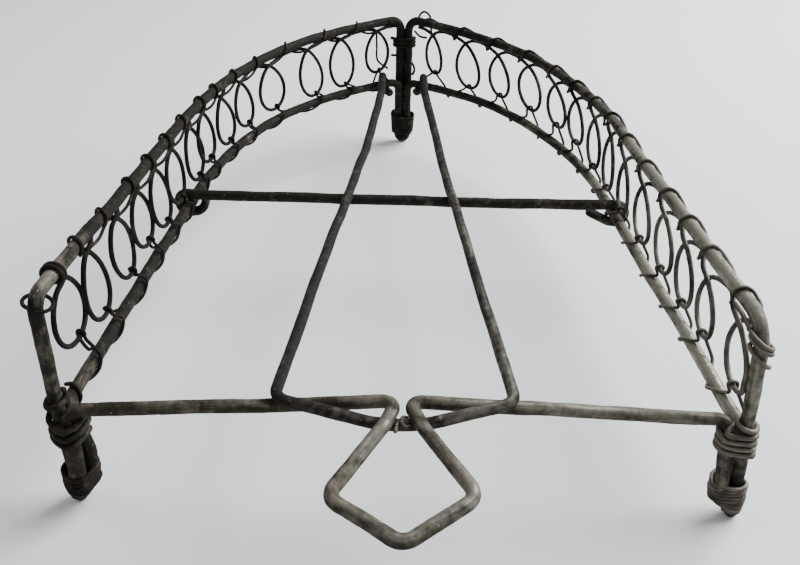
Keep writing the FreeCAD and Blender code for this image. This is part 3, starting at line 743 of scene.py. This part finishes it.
def bottom_lacing(side, name):
    """Thin wire wound round the lower rail and coiled once round the bottom of each loop."""
    rng = np.random.default_rng(90 + side)
    hoop_rail = TOP_RAILS[side]
    rail = LOWER_RAILS[side]
    snug = FRAME_R + LACING_R + 0.02
    eye = LOOP_R + LACING_R + 0.02
    places = loop_places(side)[::-1]
    first = places[0][0] + (4.4 if side > 0 else -3.4)
    points = [rail.around(first + 0.8 * side, 100, snug), rail.around(first, 160, snug)]
    for index, (middle, bottom, _) in enumerate(places):
        following = places[index + 1][0] if index + 1 < len(places) else middle - 11
        seat = middle + (0.3 if side > 0 else 1.2)
        rise = 0.05 if side > 0 else 0.15
        for step in range(4):
            turned = math.radians(150 - 60 * step)
            points.append(hoop_rail.at_height(seat - 0.15 * step, side * eye * math.cos(turned),
                                              bottom + rise + eye * math.sin(turned)))
        if side > 0:
            start, end = middle - (4.5 if index == 0 else 2.0), min(following + 6.0, middle - 4.5)
            turn = ((0, 255, snug + 0.4), (0.12, 285, snug + 0.1), (0.34, 325, snug), (0.56, 365, snug),
                    (0.78, 405, snug), (1.0, 452, snug + 0.3))
            tail = ((2.4, 500, snug + 0.05), (4.0, 545, snug + 0.5))
        else:
            start, end = middle + 2.2, following + 3.4
            turn = ((0, 135, snug + 0.5), (0.08, 100, snug + 0.1), (0.2, 55, snug), (0.36, 10, snug),
                    (0.55, -40, snug), (0.75, -85, snug + 0.1), (0.94, -125, snug + 0.4))
            tail = ()
        for share, angle, radius in turn:
            points.append(rail.around(max(start + share * (end - start), 2.6),
                                      angle + rng.uniform(-4, 4), radius))
        for step, angle, radius in tail:
            if index + 1 < len(places):
                points.append(rail.around(end - step, angle, radius))
    if side < 0:
        points += [rail.around(5.6 - 0.5 * step, -150 - 40 * step, snug) for step in range(6)]
    piece = tube(f"aged_{name}_bottom_lacing", flowing(points), LACING_WIRE, thin_wear,
                 seed=91 + side, rough=0.03)
    finish_piece(piece, LACING_IRON, "lacing_wire", f"{name}_bottom_lacing")


# ---------------------------------------------------------------- bindings

def wound(centres, radius, heights, start=0.0, tilt=0.0, tilt_angle=0.0, swell=None):
    """A wire wound round a bundle of upright wires: it lies on the outer ones and spans between them.

    centres(height) gives the bundle's wire centres, heights pairs turns made with height, and swell
    scales the outline from start to end."""
    made, levels = zip(*heights)
    steps = round(made[-1] * 10)
    path = []
    for step in range(steps + 1):
        share = step / steps
        angle = start + 2 * math.pi * made[-1] * share
        level = np.interp(made[-1] * share, made, levels)
        height = level + tilt * math.cos(angle - tilt_angle)
        reach = radius * (swell(share) if swell else 1.0)

        def support(turned):
            way = np.array((math.cos(turned), math.sin(turned)))
            return max(centre @ way for centre in centres(height)) + reach

        way = np.array((math.cos(angle), math.sin(angle)))
        side_way = np.array((-way[1], way[0]))
        lean = (support(angle + 0.12) - support(angle - 0.12)) / 0.24
        path.append(spot(*(support(angle) * way + lean * side_way), height))
    return np.array(path)


def leg_bundle(side, joined):
    """Centres of the wires in a front leg at a height. Above joined only the leg's own wire counts."""
    def centres(height):
        outer = leg_point(side, 0, 0, height)[:2]
        if side < 0:
            others = [(-63.1, -1.8), (-62.3, 1.3)]
        else:
            others = [leg_point(1, 3.1, 0.2, height)[:2], leg_point(1, 2.0, 0.9, height)[:2]]
        share = np.clip((joined - height) / 1.2, 0, 1)
        return [outer] + [outer + (np.array(other) - outer) * share for other in others]
    return centres


def leg_binding(side, name):
    """Heavy turns that tie the rail and bar ends to a front leg, with a cut stub."""
    radius = FRAME_R + BINDING_WIRE / 2
    if side < 0:
        path = wound(leg_bundle(-1, 24.6), radius, ((0, 27.8), (1.0, 26.6), (1.6, 22.6), (3.9, 18.4)),
                     start=0.7, tilt=0.8, tilt_angle=0.2)
        reach = spot(-1.4, -0.6, -0.4)
    else:
        path = wound(leg_bundle(1, 24.4), radius, ((0, 25.2), (1.1, 23.6), (4.8, 17.8)),
                     start=3.0, tilt=0.55, tilt_angle=2.4)
        reach = spot(-1.5, -0.8, -0.5)
    path = path + 0.1 * np.stack([waves(path, 3.4, seed) for seed in (104, 105, 106)], axis=1)
    path = flowing(np.concatenate((path, [path[-1] + reach])))
    piece = tube(f"aged_{name}_leg_binding", path, BINDING_WIRE, thin_wear, seed=101 + side,
                 rough=0.05, pits=0.08)
    finish_piece(piece, BINDING_IRON, "binding_wire", f"{name}_leg_binding")


def foot_binding(side, name):
    """A coil of finer wire round the wire ends at a front foot, drawn in to a blunt tip."""
    radius = FRAME_R + FOOT_WIRE / 2
    bundle = leg_bundle(side, 25)

    def centres(height):
        inset, y = (0.3, 0.8) if side < 0 else (0.1, 0.2)
        tip = leg_point(side, inset, y, height)[:2]
        pull = np.clip((height - 2.4) / 3.0, 0, 1)
        return [tip + (centre - tip) * pull for centre in bundle(height)]

    path = wound(centres, radius, ((0, 9.9), (9.4, 1.3)), start=1.0, tilt=0.35, tilt_angle=0.8,
                 swell=lambda share: 1.04 - 0.2 * np.clip(share - 0.72, 0, 1) / 0.28)
    path = path + 0.1 * np.stack([waves(path, 2.4, seed) for seed in (114, 115, 116)], axis=1)
    piece = tube(f"aged_{name}_foot_binding", flowing(path), FOOT_WIRE, thin_wear, seed=111 + side,
                 rough=0.06, pits=0.1)
    finish_piece(piece, BINDING_IRON, "binding_wire", f"{name}_foot_binding")


def post_centres(height):
    return [np.array((x, POST_Y)) for x in (-POST_X, POST_X)]


def post_bindings():
    """A binding high on the back post, a thin wire behind it, and the close collar above its foot."""
    radius = FRAME_R + BINDING_WIRE / 2 + 0.1
    top = wound(post_centres, radius, ((0, 40.2), (2.6, 37.0)), start=3.6, tilt=0.3)
    stub = np.array([top[0] + spot(-1.6, -1.2, 0.8)])
    piece = tube("aged_post_top_binding", flowing(np.concatenate((stub, top))), BINDING_WIRE,
                 thin_wear, seed=121, rough=0.04)
    finish_piece(piece, BINDING_IRON, "binding_wire", "post_top_binding")

    behind = flowing([spot(-4.5, POST_Y - 1.2, 33.8), spot(-3.6, POST_Y + 0.6, 33.2),
                      spot(-1.6, POST_Y + 2.1, 32.6), spot(1.6, POST_Y + 2.1, 31.2),
                      spot(3.5, POST_Y + 0.4, 29.8), spot(3.9, POST_Y - 0.9, 28.4),
                      spot(3.2, POST_Y - 1.9, 27.0)])
    piece = tube("aged_post_back_wire", behind, FOOT_WIRE, thin_wear, seed=122, rough=0.04)
    finish_piece(piece, LACING_IRON, "lacing_wire", "post_joint_binding")

    def foot_centres(height):
        return [np.array((x, y)) for x in (-POST_X, POST_X) for y in (POST_Y, POST_FRONT_Y)]

    top_z = 12.4 - LACING_R
    bottom_z = 4.8 + LACING_R
    turns = (top_z - bottom_z) / (LACING_WIRE * 1.04)
    collar = wound(foot_centres, FRAME_R + LACING_R + 0.15, ((0, top_z), (turns, bottom_z)), start=1.0,
                   swell=lambda share: 1.3 - 0.22 * share)
    end = np.array([collar[-1] + spot(-1.0, -0.8, -0.2)])
    piece = tube("aged_back_foot_collar", flowing(np.concatenate((collar, end))), LACING_WIRE,
                 thin_wear, seed=123, rough=0.03)
    finish_piece(piece, BINDING_IRON, "binding_wire", "back_foot_collar")


def coil(start, end, radius, turns, first_angle=0.0, growth=0.0):
    """A coil wound about the line from start to end."""
    axis = unit(end - start)
    side_way = unit(np.cross(axis, spot(0, 1, 0) if abs(axis[1]) < 0.7 else spot(1, 0, 0)))
    other_way = np.cross(axis, side_way)
    path = []
    for share in np.linspace(0, 1, round(turns * 12) + 1):
        turn = first_angle + 2 * math.pi * turns * share
        reach = radius + growth * share
        path.append(start + (end - start) * share + side_way * reach * math.cos(turn)
                    + other_way * reach * math.sin(turn))
    return flowing(path)


def corner_wraps():
    """The ends of the top lacing at the two front corners, and a loose ring at the left one."""
    snug = FRAME_R + FOOT_WIRE / 2 + 0.03
    rail = TOP_RAILS[-1]
    left = coil(rail.beside(7.5, 0, 0), rail.beside(9.8, 0, 0), snug, 2.2)
    piece = tube("aged_left_corner_wrap", left, FOOT_WIRE, thin_wear, seed=131, rough=0.03)
    finish_piece(piece, BINDING_IRON, "binding_wire", "left_corner_wrap")

    def corner_centres(height):
        rise = max(0.0, height - RIGHT_CORNER_Z + RIGHT_CORNER_RADIUS)
        back = RIGHT_CORNER_RADIUS - math.sqrt(RIGHT_CORNER_RADIUS ** 2 - rise ** 2)
        return [leg_point(1, 0, back, height)[:2]]

    lead = [TOP_RAILS[1].around(distance, 72, snug + 0.3) for distance in (8.6, 5.6)]
    turns = wound(corner_centres, snug + 0.08, ((0, 44.2), (1.7, 42.6), (2.5, 39.8)), start=2.84,
                  tilt=1.1, tilt_angle=math.pi)
    right = flowing(np.concatenate((lead, turns)))
    piece = tube("aged_right_corner_wrap", right, FOOT_WIRE, thin_wear, seed=132, rough=0.03)
    finish_piece(piece, BINDING_IRON, "binding_wire", "right_corner_wrap")

    centre = spot(-FRONT_HALF_WIDTH + 0.3, 0.8, 48.0)
    ring = coil(centre, centre + spot(0.15, 0, 0.7), 2.4, 0.95, first_angle=math.pi / 2, growth=0.3)
    piece = tube("aged_left_corner_ring", ring, LACING_WIRE, thin_wear, seed=133, rough=0.02)
    finish_piece(piece, LACING_IRON, "lacing_wire", "left_corner_ring")


def handle_tie():
    """A scrap of thin wire wedged on top of the V, between the handle's two necks."""
    path = flowing([spot(-0.5, -6.3, 26.2), spot(-0.3, -5.2, 26.5), spot(0.2, -4.0, 26.8),
                    spot(1.2, -3.4, 26.8), spot(2.2, -3.8, 26.7), spot(2.3, -4.8, 26.5),
                    spot(1.4, -5.2, 26.6), spot(0.7, -4.6, 27.1), spot(1.0, -3.2, 27.1),
                    spot(1.9, -2.4, 26.2)])
    piece = tube("aged_handle_tie", path, FOOT_WIRE, thin_wear, seed=141, rough=0.03)
    finish_piece(piece, LACING_IRON, "lacing_wire", "handle_tie")


def apex_tails():
    """Loose ends of lacing wire on both sides of the post."""
    left = flowing([spot(-17.0, 181.2, 43.6), spot(-10.4, 182.6, 44.2), spot(-9.6, 182.4, 39.0),
                    spot(-9.2, 182.0, 33.4), spot(-5.4, 181.4, 30.6)])
    piece = tube("aged_left_apex_tail", left, LACING_WIRE, thin_wear, seed=151, rough=0.03)
    finish_piece(piece, LACING_IRON, "lacing_wire", "left_apex_tail")
    right = flowing([spot(3.4, 184.6, 43.6), spot(5.4, 183.0, 42.2), spot(8.0, 182.0, 41.9)])
    arc = flowing([spot(5.2, 186.4, 45.4), spot(5.0, 187.0, 48.0), spot(6.6, 186.4, 49.8),
                   spot(8.6, 185.2, 49.0), spot(9.4, 183.8, 46.6), spot(9.5, 183.0, 43.6),
                   spot(10.4, 182.8, 42.6), spot(11.2, 182.6, 43.6)])
    piece = tube("aged_right_apex_tail", [right, arc], LACING_WIRE, thin_wear, seed=152, rough=0.03)
    finish_piece(piece, LACING_IRON, "lacing_wire", "right_apex_tail")


# ---------------------------------------------------------------- floor, light and camera

def pale_floor():
    """A plain matte pale table."""
    half = 1.6
    mesh = bpy.data.meshes.new("pale_floor")
    mesh.from_pydata([(-half, -half, 0), (half, -half, 0), (half, half, 0), (-half, half, 0)], [],
                     [(0, 1, 2, 3)])
    floor = bpy.data.objects.new("pale_floor", mesh)
    bpy.context.scene.collection.objects.link(floor)
    material = bpy.data.materials.new("pale_matte")
    material.use_nodes = True
    shader = material.node_tree.nodes["Principled BSDF"]
    shader.inputs["Base Color"].default_value = (0.80, 0.80, 0.795, 1)
    shader.inputs["Roughness"].default_value = 0.9
    mesh.materials.append(material)


def area_light(name, place, target, size, power, colour):
    data = bpy.data.lights.new(name, "AREA")
    data.shape = "RECTANGLE"
    data.size, data.size_y = size
    data.energy = power
    data.color = colour
    light = bpy.data.objects.new(name, data)
    light.location = place
    way = Vector(target) - Vector(place)
    light.rotation_euler = way.to_track_quat("-Z", "Y").to_euler()
    bpy.context.scene.collection.objects.link(light)


def soft_light():
    """A broad window to the back right, a weaker one to the left, and an even sky."""
    world = bpy.data.worlds.new("soft_sky")
    world.use_nodes = True
    background = world.node_tree.nodes["Background"]
    background.inputs["Color"].default_value = (0.94, 0.97, 1.0, 1)
    background.inputs["Strength"].default_value = 0.44
    bpy.context.scene.world = world
    area_light("window", (0.48, 0.22, 0.52), (0, 0.0, 0.02), (0.60, 0.60), 15.0, (0.95, 0.98, 1.0))
    area_light("room", (-0.6, 0.10, 0.70), (0, 0, 0.02), (0.6, 0.6), 1.2, (1.0, 0.95, 0.88))


def camera():
    """The viewing angle: held close over the front of the stand, looking down and to the back."""
    place = spot(-0.885, -129.735, 137.562)
    pitch = math.radians(32.48)
    roll = math.radians(1.434)
    yaw = math.radians(-0.278)
    forward = spot(-math.sin(yaw) * math.cos(pitch), math.cos(yaw) * math.cos(pitch), -math.sin(pitch))
    level_right = spot(math.cos(yaw), math.sin(yaw), 0)
    level_up = np.cross(level_right, forward)
    right = math.cos(roll) * level_right + math.sin(roll) * level_up
    up = -math.sin(roll) * level_right + math.cos(roll) * level_up
    data = bpy.data.cameras.new("camera")
    data.sensor_width = 36
    data.lens = 40
    data.clip_start = 0.01
    body = bpy.data.objects.new("camera", data)
    turn = Matrix((right, up, -forward)).transposed().to_4x4()
    turn.translation = Vector((place + LAYOUT_ORIGIN) / 1000)
    body.matrix_world = turn
    bpy.context.scene.collection.objects.link(body)
    bpy.context.scene.camera = body


# ---------------------------------------------------------------- everything

camera()
soft_light()
pale_floor()
top_frame_wire()
handle_bar()
middle_crossbar()
heart_support()
for each_side, side_name in ((-1, "left"), (1, "right")):
    lower_rail(each_side, side_name)
    loop_wire(each_side, side_name)
    top_lacing(each_side, side_name)
    bottom_lacing(each_side, side_name)
    leg_binding(each_side, side_name)
    foot_binding(each_side, side_name)
post_bindings()
corner_wraps()
handle_tie()
apex_tails()
